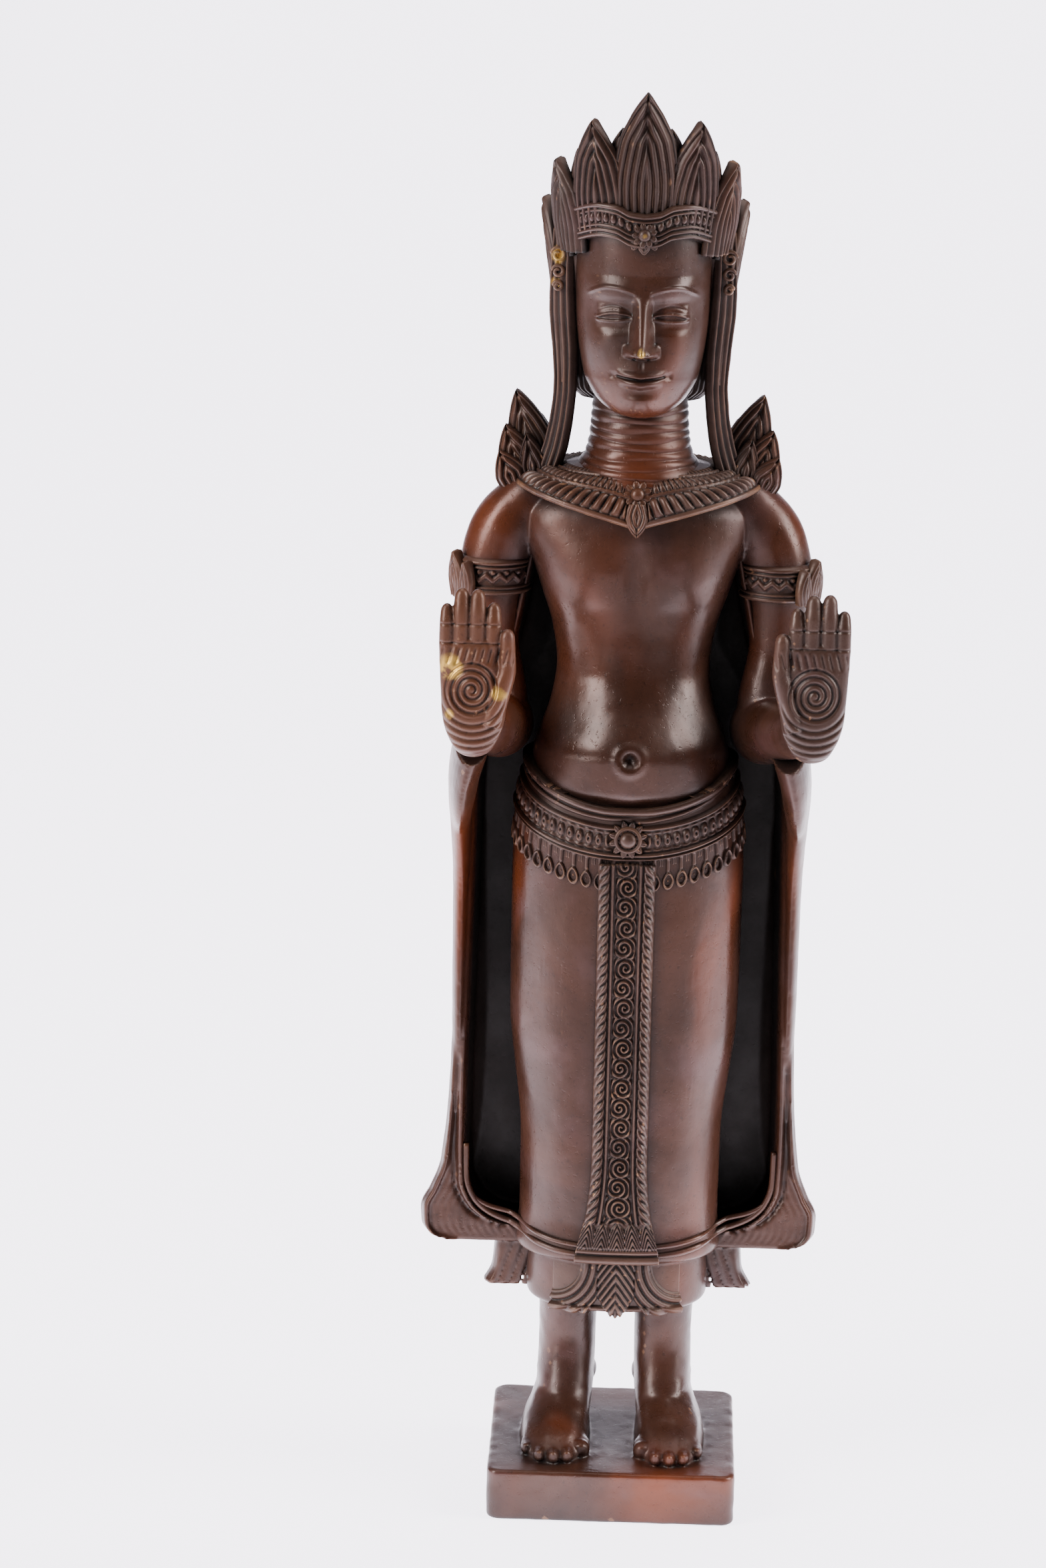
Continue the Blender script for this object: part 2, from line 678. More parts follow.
def fishtail(bm, side):
    """The pleated corner of the under skirt that stands out sideways below the robe."""

    def place(u, v):
        z = mix(46.2, 60, v)
        reach = along(((46.0, 31.0), (47.2, 30.2), (50.6, 28.6), (55.0, 28.2), (60.0, 27.6)), z)[0]
        s = mix(0, 1, u / 0.6) if u < 0.6 else mix(1, 0, (u - 0.6) / 0.4)
        x = mix(14, reach, s)
        pleat = 0.5 * ridge(x + (z - 46) * 0.35, 2.6)
        y = 1.8 - pleat if u < 0.6 else 7.0
        return Vector((side * x, mix(y, 4.4, ease(s, 0.9, 1) * 0.6), z + side * 0.4))

    skin(bm, 60, 40, place)


# Feet and plinth.
def make_feet():
    bm = bmesh.new()
    width, depth, height = PLINTH["width"], PLINTH["depth"], PLINTH["height"]
    made = bmesh.ops.create_cube(bm, size=1)
    bmesh.ops.scale(bm, vec=(width, depth, height), verts=made["verts"])
    bmesh.ops.translate(bm, vec=(0, 0, height / 2), verts=made["verts"])
    upright = [e for e in bm.edges if abs(e.verts[0].co.z - e.verts[1].co.z) > 1]
    bmesh.ops.bevel(
        bm, geom=upright, offset=PLINTH["corner"], segments=6, profile=0.5, affect="EDGES", material=-1
    )
    level = [e for e in bm.edges if abs(e.verts[0].co.z - e.verts[1].co.z) < 0.01]
    bmesh.ops.bevel(bm, geom=level, offset=PLINTH["bevel"], segments=3, profile=0.5, affect="EDGES", material=-1)
    for side in SIDES:
        foot(bm, side)
    bm = thinned(melted(bm, 0.36), 150000)
    piece("feet_and_plinth", bm, PATINA, 0.12)


def foot(bm, side):
    def place(u, v):
        z = mix(LEG[0][0], LEG[-1][0], v)
        a, b, y, n, out = along(LEG, z)
        p, q = outline(TAU * u, a, b, n)
        return Vector((side * (LEG_X + out) + p, y + q, z))

    skin(bm, 60, 90, place)
    low, half_width, half_length, foot_y, squareness, out = LEG[0]
    for i in range(5):
        across = 3.1 * (i - 2)
        edge = foot_y - half_length * (1 - (abs(across) / half_width / 1.04) ** 2.5) ** 0.4
        size = 1.3 if i == 0 else 1 - 0.05 * i
        x = side * (LEG_X + out + across)
        r = 1.6 * size
        ball(bm, (x, edge + 2.6, 13.6), (r, 4.0, r * 1.05), 18)
        ball(bm, (x, edge + 0.5, 13.6), (r * 1.02, 2.1, r * 1.1), 18)
        ball(bm, (x, edge - 0.6, 14.6), (r * 0.62, 1.0, r * 0.42), 12)
    for turn in SIDES:
        ball(bm, (side * LEG_X + turn * 5.6, 4.8, 25.0), (1.3, 2.4, 2.4), 14)


# Hands.
def make_hand(side, name):
    hand_x = HAND_X[side]
    lift = HAND_LIFT[side]
    bm = bmesh.new()
    palm = (
        (hand_x, HAND_Y + 4.6, HAND_FOOT + 1.4, 3.0, 2.6),
        (hand_x, HAND_Y + 2.2, HAND_FOOT + 1.2, 4.4, 3.4),
        (hand_x, HAND_Y + 0.9, HAND_FOOT + 4.0, 6.0, 3.0),
        (hand_x, HAND_Y + 0.2, HAND_FOOT + 9, 6.9, 2.9),
        (hand_x + 0.2, HAND_Y, HAND_FOOT + 16, 7.1, 2.7),
        (hand_x + 0.9, HAND_Y, PALM_TOP, 6.7, 2.2),
        (hand_x + 1.1, HAND_Y, PALM_TOP + 2, 6.2, 1.5),
    )
    limb(bm, palm, 40, 50, side)
    for offset, tip, r in FINGERS:
        x = hand_x + offset
        foot_z = PALM_TOP - 5
        shape = (
            (mix(x, hand_x + 1, 0.12), HAND_Y, foot_z, r * 1.05, r * 0.9),
            (x, HAND_Y - 0.2, PALM_TOP + 1, r * 1.02, r * 0.95),
            (x, HAND_Y - 0.3, mix(PALM_TOP, tip, 0.55), r * 0.98, r * 0.95),
            (x, HAND_Y + 0.2, tip - r * 1.2, r * 0.88, r * 0.9),
        )
        limb(bm, shape, 18, 24, side)
        ball(bm, (side * x, HAND_Y + 0.2, tip - r * 1.25), (r * 0.88, r * 0.9, r * 1.25), 16)
    thumb = (
        (hand_x - 3.6, HAND_Y - 0.4, 188.0, 2.4, 2.6),
        (hand_x - 5.4, HAND_Y - 0.9, 194.5, 2.3, 2.3),
        (hand_x - 7.0, HAND_Y - 0.9, 200.8, 1.85, 1.9),
        (hand_x - 6.9, HAND_Y - 0.9, 206.6, 1.6, 1.6),
    )
    limb(bm, thumb, 20, 30, side)
    ball(bm, (side * (hand_x - 6.9), HAND_Y - 0.9, 206.7), (1.6, 1.6, 2.1), 16)
    bmesh.ops.translate(bm, vec=(0, 0, lift), verts=bm.verts)
    bm = melted(bm, 0.24, 2)
    bm.normal_update()
    for v in bm.verts:
        if v.normal.y < -0.2:
            v.co.y += palm_lines(side * v.co.x - hand_x, v.co.z - lift, side) * ease(-v.normal.y, 0.2, 0.8)
    piece(name, thinned(bm, 120000), CHASED, 0.04)


def palm_lines(x, z, side):
    """How deep the wheel, the palm's creases and the finger joints are cut."""
    cx, cz = 0.4, 195.6
    away = math.hypot(x - cx, (z - cz) * 0.94)
    turn = math.atan2(z - cz, side * (x - cx)) / TAU
    wheel = 0.55 * (1 - ridge(away / 1.45 - turn, 1) ** 1.2) * ease(away, 0.2, 0.8) * (1 - ease(away, 5.4, 6.1))
    hem = 0.4 * (1 - ridge(away, 1.6)) * ease(away, 6.0, 6.4) * (1 - ease(z, 192, 195))
    creases = 0.35 * (1 - ridge(x + 0.25 * (z - 200), 1.7)) * ease(z, 200.6, 202) * (1 - ease(z, 204, 205.4))
    joints = sum(swell(z, PALM_TOP + step, 0.35) for step in (1.2, 5.2)) * 0.25 * ease(x, -6, -5)
    return wheel + hem + creases + joints


# The head. The face is of a general kind, on the rule of thirds between the band and the chin.
CHIN, HAIRLINE = 250.0, 289.0
THIRD = (HAIRLINE - CHIN) / 3
NOSE_FOOT = CHIN + THIRD
BROW = CHIN + 2 * THIRD
EYE = BROW - THIRD * 0.32
EYE_X = 6.1
MOUTH = NOSE_FOOT - THIRD * 0.35


def face_relief(x, z):
    """How far the face stands forward of the plain head."""
    side = abs(x)
    f = -1.5 * swell(side, EYE_X - 0.4, 5.2) * swell(z, EYE, 4.4)
    f += -0.7 * swell(side, 2.9, 2.2) * swell(z, EYE + 0.4, 3.6)
    f += 0.8 * swell(side, 6, 8.5) * swell(z, BROW + 1.5, 3.2)
    brow_z = BROW + 0.2 + 1.9 * math.sin(clamp(side / 12.6) * math.pi * 0.92) - 0.9 * ease(side, 8, 12.6)
    f += 0.42 * swell(z, brow_z, 0.75) * ease(side, 1.0, 2.2) * (1 - ease(side, 10.5, 12.4))
    f += eye_relief(side, z)
    f += nose_relief(x, z)
    f += mouth_relief(x, z)
    f += 0.9 * swell(side, 8.6, 6.0) * swell(z, NOSE_FOOT + 2.6, 7.5)
    f += 1.5 * swell(x, 0, 5.6) * swell(z, CHIN + 3.4, 4.0)
    return f


def eye_relief(side, z):
    across = (side - EYE_X) / 3.9
    if abs(across) >= 1.15:
        return 0.0
    arc = clamp(1 - across * across)
    ball_form = 1.35 * math.sqrt(arc) * swell(z, EYE, 3.1)
    slit = EYE - 0.55 + 0.25 * arc - 0.25 * across
    upper = slit + 0.55 * arc
    lower = slit - 0.62 * arc
    lid = 0.34 * swell(z, upper + 0.3, 0.5) + 0.22 * swell(z, lower - 0.28, 0.45)
    crease = -0.28 * swell(z, EYE + 1.35 * arc + 0.75, 0.5) * arc
    opening = -0.32 * ease(z, lower, lower + 0.2) * (1 - ease(z, upper - 0.15, upper + 0.1))
    return ball_form + (lid + opening) * ease(1.12 - abs(across), 0, 0.25) + crease


def nose_relief(x, z):
    side = abs(x)
    rise = clamp((BROW + 0.5 - z) / (BROW + 0.5 - NOSE_FOOT - 1.6))
    under = ease(z, NOSE_FOOT - 0.5, NOSE_FOOT + 1.1)
    height = mix(1.2, 5.4, rise**1.25) * under * (1 - ease(z, BROW - 1.5, BROW + 2.5))
    wide = mix(2.3, 3.0, rise)
    bridge = height * (clamp(1 - (side / wide) ** 2) ** 1.5 if side < wide else 0)
    tip = 0.7 * swell(side, 0, 2.3) * swell(z, NOSE_FOOT + 1.7, 2.0)
    wing = 2.5 * swell(side, 2.5, 1.75) * swell(z, NOSE_FOOT + 1.35, 1.9) * ease(z, NOSE_FOOT - 0.5, NOSE_FOOT + 0.5)
    nostril = -0.8 * swell(side, 1.45, 0.7) * swell(z, NOSE_FOOT + 0.1, 0.7)
    return bridge + tip + wing + nostril


def mouth_relief(x, z):
    side = abs(x)
    muzzle = 1.3 * swell(side, 0, 8.6) * swell(z, MOUTH, 7.0)
    line = MOUTH + 0.5 * (side / 5.2) ** 2 - 0.15 * swell(side, 0, 1.5)
    taper = clamp(1 - (side / 5.4) ** 2.4)
    above, below = z - line, line - z
    upper = 0.95 * taper * swell(above, 0.8, 1.15 + 0.1 * swell(side, 1.2, 1.0))
    lower = 1.15 * clamp(1 - (side / 4.8) ** 2) * swell(below, 1.0, 1.35)
    parting = -0.75 * swell(above, 0.0, 0.5) * ease(5.6 - side, 0, 0.8)
    groove = -0.35 * swell(x, 0, 0.9) * swell(z, MOUTH + 3.0, 1.8)
    under = -0.6 * swell(side, 0, 5.0) * swell(z, MOUTH - 3.2, 1.5)
    corner = -0.45 * swell(side, 5.9, 1.2) * swell(z, MOUTH + 0.5, 1.2)
    return muzzle + upper + lower + parting + groove + under + corner


def make_head():
    bm = bmesh.new()
    low, high = HEAD[0][0], HEAD[-1][0]

    def place(u, v):
        z = mix(low, high, v)
        share = mix(-1, 1, u)
        turn = math.copysign(abs(share) ** 1.25, share) * math.pi - math.pi / 2
        p = body_point(HEAD, turn, z)
        p.y -= face_relief(p.x, z) * ease(-math.sin(turn), 0.0, 0.35)
        return p

    skin(bm, 300, 330, place)
    piece("head", thinned(bm, 190000), PATINA, 0.03)


def neck_point(u, v):
    z = mix(231.0, 256.0, v)
    radius = along(((231.0, 15.0), (234.0, 14.0), (237.5, 12.6), (241.0, 11.3), (245.0, 10.7), (250.0, 10.4), (256.0, 9.8)), z)[0]
    wander = 0.25 * math.sin(TAU * u * 3 + z)
    radius += 0.34 * (ridge(z - 236.4 + wander, 1.95) - 0.5) * (1 - ease(z, 249.5, 251))
    turn = TAU * (u + 0.25)
    return Vector((radius * math.cos(turn), 1.4 + radius * 1.02 * math.sin(turn), z))


def make_neck():
    bm = bmesh.new()
    skin(bm, 120, 150, neck_point)
    piece("ringed_neck", bm, PATINA, 0.05)


def make_hair():
    bm = bmesh.new()

    def place(sections, turn, z):
        p = body_point(sections, turn, z)
        strand = 0.35 * (ridge(turn * 9.0, 1) - 0.5)
        return p + Vector((math.cos(turn), math.sin(turn), 0)) * strand

    levels(bm, HAIR_BACK, 360, 70, place)
    piece("combed_hair", bm, CHASED)


# Crown, brow band and ear straps.
CROWN_Y = 1.2
CROWN_LEAVES = (
    (0, 291.0, 320.0, 14.4, 18.6),
    (30.5, 289.5, 313.8, 13.2, 18.4),
    (62, 284.5, 304.6, 12.8, 17.9),
    (94, 275.0, 295.0, 13.6, 18.2),
    (128, 275.0, 292.0, 13.8, 18.0),
    (162, 275.0, 291.5, 13.8, 18.6),
)
SECOND_LEAVES = ((15.5, 294, 312.0, 9.4, 16.9), (46, 290, 307.5, 9.4, 16.7), (78, 283, 299.0, 9.6, 16.9))
LEAN = math.radians(10)


def crown_leaf(bm, bearing, foot, tip, width, radius, thick=2.4, cut=0.5):
    a = math.radians(bearing)
    outward = Vector((math.sin(a), -math.cos(a), 0))
    low = Vector((0, CROWN_Y, foot)) + outward * radius
    height = tip - foot
    high = low + Vector((0, 0, height)) + outward * (height * math.tan(LEAN))
    leaf(bm, low, high, width / 2, outward, thick, 1.6, cut, 0.5, 0.95, 0.3, columns=104, rows=64)


def make_crown():
    bm = bmesh.new()
    for row, cut in ((CROWN_LEAVES, 0.8), (SECOND_LEAVES, 0.5)):
        for bearing, foot, tip, width, radius in row:
            for side in SIDES if bearing else (1,):
                crown_leaf(bm, side * bearing, foot, tip, width, radius, 2.4, cut if bearing < 110 else 0.35)
    piece("crown_leaves", thinned(bm, 190000), CHASED, 0.08)
    bm = bmesh.new()
    profile = (
        (296.0, 13.5), (298.0, 13.8), (299.4, 12.2), (301.0, 10.6), (302.2, 8.2), (303.0, 8.4), (304.4, 8.6),
        (305.6, 6.0), (306.6, 5.2), (307.6, 5.4), (309.0, 3.4), (311.0, 1.9), (312.4, 0.0),
    )

    def place(u, v):
        z = mix(296.0, 312.4, v)
        r = along(profile, z)[0] * (1 + 0.03 * math.cos(TAU * u * 12) * (1 - ease(z, 306, 309)))
        return Vector((r * math.cos(TAU * u), CROWN_Y + 1 + r * math.sin(TAU * u), z))

    skin(bm, 96, 90, place)
    piece("top_knot", bm, CHASED)


def band_middle(bearing):
    """The brow band's height: it dips to the jewel, arches over each temple and falls to the ears."""
    b = abs(math.degrees(bearing))
    return along(
        ((0, 290.4), (9, 290.8), (19, 292.2), (30, 292.5), (48, 291.2), (64, 288.8), (80, 285.9), (102, 281.0)), b
    )[0]


def band_surface(bearing, z):
    a, b = 18.3 + 0.14 * (z - 292), 20.6 + 0.14 * (z - 292)
    return Vector((a * math.sin(bearing), CROWN_Y - b * math.cos(bearing), z))


def make_brow_band():
    bm = bmesh.new()
    reach = math.radians(102)
    tall = 3.9

    def surface(u, v):
        bearing = mix(-reach, reach, u)
        return band_surface(bearing, band_middle(bearing) + mix(-tall, tall, v))

    def height(u, v):
        d = mix(-tall, tall, v)
        arc = mix(-reach, reach, u) * 19.2
        bead = math.sqrt(clamp(1 - ((arc / 1.75 - round(arc / 1.75)) * 2.3) ** 2 - ((d - 0.5) / 1.05) ** 2))
        lines = 0.9 * roll(d, 3.1, 0.65) + 0.55 * roll(d, 1.95, 0.4)
        lines += 0.6 * roll(d, -1.1, 0.4) + 0.75 * roll(d, -2.1, 0.5) + 0.7 * roll(d, -3.2, 0.5)
        return 0.2 + lines + 0.75 * bead

    carved(bm, 420, 46, surface, height, lambda p: Vector((p.x, p.y - CROWN_Y, 0)))
    piece("brow_band", thinned(bm, 90000), CHASED, 0.05)
    bm = bmesh.new()
    rosette(bm, Vector((0, CROWN_Y - 20.9, 289.6)), Vector((0, -1, 0.1)), 1.35, 2.9, 9)
    for x, z, tall, wide in ((0, 285.2, 3.4, 1.5), (-2.0, 286.2, 2.8, 1.2), (2.0, 286.2, 2.8, 1.2)):
        leaf(
            bm, (x * 0.7, CROWN_Y - 19.9, z + tall), (x * 1.25, CROWN_Y - 19.6, z), wide, Vector((0, -1, 0)),
            1.4, 0.8, 0.2, columns=20, rows=20,
        )
    piece("brow_jewel", bm, CHASED, 0.03)


def rosette(bm, middle, facing, core, reach, petals):
    """A domed jewel in a ring of petals."""
    facing = facing.normalized()
    across = Vector((1, 0, 0))
    up = facing.cross(across).normalized()
    turn = Matrix((across, up, facing)).transposed().to_4x4()
    ball(bm, middle + facing * 0.5, (core, core, core * 0.8), 20, turn)
    for i in range(petals):
        a = TAU * (i + 0.5) / petals
        out = across * math.cos(a) + up * math.sin(a)
        leaf(
            bm, middle + out * (core * 0.8) - facing * 0.1, middle + out * reach + facing * 0.1,
            math.pi * reach / petals * 0.82, facing, 1.3, 0.7, 0.18, columns=16, rows=12,
        )


EAR_STRAP = (
    (17.2, -4.0, 288.5, 2.6, 1.2),
    (17.4, -3.6, 279.0, 2.9, 1.5),
    (17.2, -2.6, 271.0, 3.2, 1.7),
    (16.5, -2.2, 262.0, 3.0, 1.6),
    (16.3, -2.0, 255.0, 2.7, 1.5),
    (16.8, -1.2, 248.5, 2.7, 1.5),
    (18.0, 0.0, 241.5, 2.9, 1.5),
    (20.0, 0.6, 234.5, 3.0, 1.4),
    (20.8, 1.2, 230.0, 2.4, 1.2),
)


def make_ear_straps():
    bm = bmesh.new()
    for side in SIDES:
        strap(bm, EAR_STRAP, (0.75, -1, 0), 4, 0.75, side, 72, 150)
        for z, r in ((283.2, 1.7), (279.6, 1.4), (276.4, 1.1)):
            curl(bm, Vector((side * 18.4, -5.6, z)), r, side)
    limbs = ((15.6, 1.6, 279.0, 2.4, 3.0), (17.0, 0.9, 271.5, 2.8, 4.6), (16.8, 0.4, 263.0, 2.3, 4.0), (16.2, -0.4, 255.0, 2.0, 3.0))
    for side in SIDES:
        limb(bm, limbs, 24, 30, side)
    piece("ear_straps", bm, CHASED, 0.08)


def curl(bm, middle, radius, side):
    """A small scroll, a wire rolled up on itself."""
    turns = 1.4

    def place(u, v):
        a = TAU * turns * v
        r = radius * mix(1.0, 0.25, v)
        out = Vector((side * math.cos(a), 0, math.sin(a)))
        wire = 0.45 * math.sqrt(clamp(1 - (2 * v - 1) ** 8))
        return middle + out * (r + wire * math.cos(TAU * u)) + Vector((0, -wire * math.sin(TAU * u), 0))

    skin(bm, 8, 30, place)


# Shoulder leaves.
SHOULDER_LEAVES = (
    ((21.0, 3.4, 231.0), (27.2, 4.6, 252.2), 5.4),
    ((24.2, 2.4, 230.4), (29.4, 3.2, 244.6), 4.6),
    ((21.8, 1.2, 230.4), (24.6, 1.4, 243.0), 3.4),
    ((25.6, 1.2, 229.4), (30.6, 1.8, 239.0), 3.8),
    ((19.8, 4.2, 231.0), (22.0, 5.2, 247.0), 3.6),
)


def make_shoulder_leaves():
    bm = bmesh.new()
    for side in SIDES:
        for foot, tip, half in SHOULDER_LEAVES:
            f = (side * foot[0], foot[1], foot[2])
            t = (side * tip[0], tip[1], tip[2])
            leaf(bm, f, t, half, Vector((side * 0.25, -1, 0.1)), 2.4, 1.5, 0.7, 0.6, 0.8, 0.45, columns=60, rows=46)
    piece("shoulder_leaves", bm, CHASED, 0.08)


# The collar.
def collar_edge(bearing):
    front = max(0, math.cos(bearing))
    side = abs(math.sin(bearing))
    reach = 13.6 + 3.6 * front**2 + 12.9 * side**1.5
    x = reach * math.sin(bearing)
    z = 225 + 7.2 * (abs(x) / 26.5) ** 0.85 if front > 0 else 232.2
    return Vector((x, AXIS_Y - reach * math.cos(bearing) * (1 - 0.12 * side), z))


def collar_throat(bearing):
    return Vector((11.6 * math.sin(bearing), 1.4 - 11.4 * math.cos(bearing), 237.4 - 1.6 * max(0, math.cos(bearing))))


def make_collar():
    bm = bmesh.new()
    steps = 720
    arcs = [0.0]
    for i in range(steps):
        a, b = (math.tau * k / steps - math.pi for k in (i, i + 1))
        arcs.append(arcs[-1] + (collar_edge(a) - collar_edge(b)).length)
    whole = arcs[-1]

    def surface(u, v):
        bearing = mix(-math.pi, math.pi, u)
        low, high = collar_edge(bearing), collar_throat(bearing)
        t = (v - 0.12) / 0.88
        p = low.lerp(high, t)
        crown = 1.1 * math.sin(math.pi * clamp(t)) + 0.2
        if t < 0:
            p = low + Vector((low.x * 0.9, (low.y - AXIS_Y) * 0.9, -8)) * (t * 0.9)
            crown = 0.2 * (1 + t / 0.14)
        return p + Vector((math.sin(bearing), -math.cos(bearing), 0.9)).normalized() * crown

    def height(u, v):
        bearing = mix(-math.pi, math.pi, u)
        long = (collar_edge(bearing) - collar_throat(bearing)).length
        w = (v - 0.12) / 0.88 * long
        arc = mix(arcs[int(u * steps)], arcs[min(steps, int(u * steps) + 1)], u * steps % 1) - whole / 2
        if w < 0:
            return 0.0
        away = abs(arc)
        lean = math.copysign(1, arc) * (w - 3.0) * 0.35
        lobe = ridge(arc + lean, 2.35) ** 0.8 * roll(w, 3.1, 2.1)
        gadroon = 1.25 * lobe * ease(away, 2.4, 3.2)
        petal_at = (arc + lean * 0.3) / 1.9
        off = abs(petal_at - round(petal_at)) * 2
        petal = roll(off, 0, 1.0) * roll(w, 7.7 - 0.5 * off, 1.6)
        petals = (0.75 * petal + 0.25 * ridge(w + off * 1.4, 0.9) * petal) * ease(away, 3.4, 4.2)
        lines = 0.7 * roll(w, 0.45, 0.5) + 0.75 * roll(w, 5.6, 0.45) + 0.6 * roll(w, 9.8, 0.45)
        beads = 0.0
        if w > 10.4:
            beads = 0.45 * ridge(arc, 1.5) * roll(w, 11.4, 0.8)
        return 0.15 + gadroon + petals + lines + beads

    carved(bm, 620, 58, surface, height, lambda p: Vector((p.x, p.y - AXIS_Y, 8)))
    piece("collar", thinned(bm, 150000), CHASED, 0.06)
    bm = bmesh.new()
    rosette(bm, Vector((0, -13.0, 232.6)), Vector((0, -1, 0.35)), 1.5, 3.3, 9)
    front = Vector((0, -1, 0.25))
    leaf(bm, (0, -13.6, 230.6), (0, -15.3, 223.4), 2.6, front, 2.2, 0.95, 0.35, columns=44, rows=40)
    piece("collar_jewels", bm, CHASED, 0.03)


# Armlets.
def make_armlets():
    bm = bmesh.new()
    low, high = 207.6, 216.0

    def surface_for(side):
        def surface(u, v):
            z = mix(low, high, v)
            turn = TAU * (u + (0.5 if side > 0 else 0.0))
            r = 7.65
            return Vector((side * 31.35 + r * math.cos(turn), 3.0 + r * math.sin(turn), z))

        return surface

    def height(u, v):
        z = mix(low, high, v)
        arc = u * TAU * 7.6
        lines = 0.9 * roll(z, 215.0, 0.6) + 0.6 * roll(z, 213.9, 0.4)
        lines += 0.6 * roll(z, 209.5, 0.4) + 0.85 * roll(z, 208.5, 0.6)
        off = abs(arc / 3.0 - round(arc / 3.0)) * 2
        zigzag = 0.65 * roll(z, 211.7 + 1.3 * (off - 0.5), 0.75)
        knob = 0.6 * math.sqrt(clamp(1 - (off * 1.5 / 0.6) ** 2 - ((z - 212.9) / 0.6) ** 2))
        return 0.15 + lines + zigzag + knob

    for side in SIDES:
        carved(
            bm, 190, 40, surface_for(side), lambda u, v: height(clamp(u, 1e-4, 1 - 1e-4), v),
            lambda p, s=side: Vector((p.x - s * 31.35, p.y - 3, 0)),
        )
        for foot, tip, half in (
            ((38.6, -0.4, 206.8), (39.3, -1.6, 217.4), 3.4),
            ((36.6, -4.0, 207.6), (36.8, -4.8, 215.6), 2.4),
        ):
            f, t = (side * foot[0], *foot[1:]), (side * tip[0], *tip[1:])
            leaf(bm, f, t, half, Vector((side, -0.55, 0)), 2.4, 1.1, 0.4, columns=36, rows=34)
    piece("armlets", bm, CHASED, 0.05)


# The belt with its hanging drops.
def hip_point(bearing, z):
    turn = bearing - math.pi / 2
    skirt, waist = skirt_point(SKIRT, turn, z), torso_point(TORSO, turn, z)
    if z < 161.5:
        return skirt
    return max((skirt, waist), key=lambda p: math.hypot(p.x, p.y - AXIS_Y))


def belt_top(bearing):
    front = max(0, math.cos(bearing))
    return 171.6 - 8.0 * front**1.5


BELT_TALL = 20.4


def make_belt():
    bm = bmesh.new()
    reach = math.radians(118)
    steps = 400
    arcs = [0.0]
    for i in range(steps):
        a, b = (mix(-reach, reach, k / steps) for k in (i, i + 1))
        arcs.append(arcs[-1] + (hip_point(a, 155) - hip_point(b, 155)).length)
    whole = arcs[-1]

    def surface(u, v):
        bearing = mix(-reach, reach, u)
        return hip_point(bearing, belt_top(bearing) - mix(0, BELT_TALL, v))

    def height(u, v):
        d = mix(0, BELT_TALL, v)
        arc = mix(arcs[int(u * steps)], arcs[min(steps, int(u * steps) + 1)], u * steps % 1) - whole / 2
        fold = 1.5 * roll(d, 0.9, 0.9) + 0.75 * roll(d, 2.5, 0.6) * (1 - ease(arc, -6, 4))
        fold += 0.5 * roll(d, 3.3 - 0.06 * arc, 0.5) * ease(arc, -3, 5) * (1 - ease(arc, 18, 26))
        cloth = 0.45 * (1 - ease(d, 11.6, 12.2))
        lines = 0.9 * roll(d, 4.7, 0.5) + 0.95 * roll(d, 10.7, 0.5) + 0.65 * roll(d, 11.8, 0.4)
        step = arc / 2.15
        off = (step - round(step)) * 2.15
        seat = math.hypot(off / 0.85, (d - 7.7) / 1.5)
        seed = (0.8 * roll(seat, 0, 1.0) - 0.55 * swell(seat, 0, 0.42)) * ease(abs(arc), 4.0, 5.0)
        tick = 0.4 * ridge(off, 2.15) * (roll(d, 5.7, 0.4) + roll(d, 9.7, 0.4))
        step = arc / 2.95
        off = (step - round(step)) * 2.95
        drop = math.hypot(off / (1.32 * (1 - 0.42 * clamp((17.2 - d) / 2.6))), (d - 17.2) / 2.1)
        ring = 1.0 * swell(drop, 0.78, 0.42) + 0.6 * swell(drop, 0, 0.36)
        stem = 0.85 * roll(off, 0, 0.6) * ease(d, 11.9, 12.5) * (1 - ease(d, 14.8, 15.8))
        stem += 0.5 * roll(abs(off), 1.2, 0.32) * ease(d, 12, 12.6) * (1 - ease(d, 13.6, 14.4))
        bed = -0.5 * ease(d, 12.0, 12.6)
        return cloth + fold + lines + seed + tick + bed + max(ring, stem) * 1.25

    carved(bm, 620, 96, surface, height, lambda p: Vector((p.x, p.y - AXIS_Y, 0)))
    piece("belt", thinned(bm, 190000), CHASED, 0.05)
    bm = bmesh.new()
    at = skirt_front(0, 156.6)
    rosette(bm, Vector((0, at.y - 1.0, 156.6)), Vector((0, -1, 0)), 1.9, 4.5, 12)
    wire_ring(bm, Vector((0, at.y - 1.6, 156.6)), 2.6, 0.5)
    piece("belt_buckle", bm, CHASED, 0.03)


def wire_ring(bm, middle, radius, wire):
    def place(u, v):
        a, b = TAU * u, TAU * v
        r = radius + wire * math.cos(b)
        return middle + Vector((r * math.cos(a), -wire * math.sin(b), r * math.sin(a)))

    skin(bm, 40, 10, place)


# The apron.
def apron_half(z):
    return 6.3 + 3.1 * clamp((82 - z) / 23.1) ** 2


def scroll_height(x, z, pitch=4.7, size=1.15):
    """A chain of scrolls that turn left and right in turn."""
    step = z / pitch
    i = round(step)
    hand = 1 if i % 2 else -1
    dx, dz = x * hand - 0.3, (step - i) * pitch
    away = math.hypot(dx, dz)
    return 0.5 + 0.5 * math.cos(TAU * (away / size - math.atan2(dz, dx) / TAU))


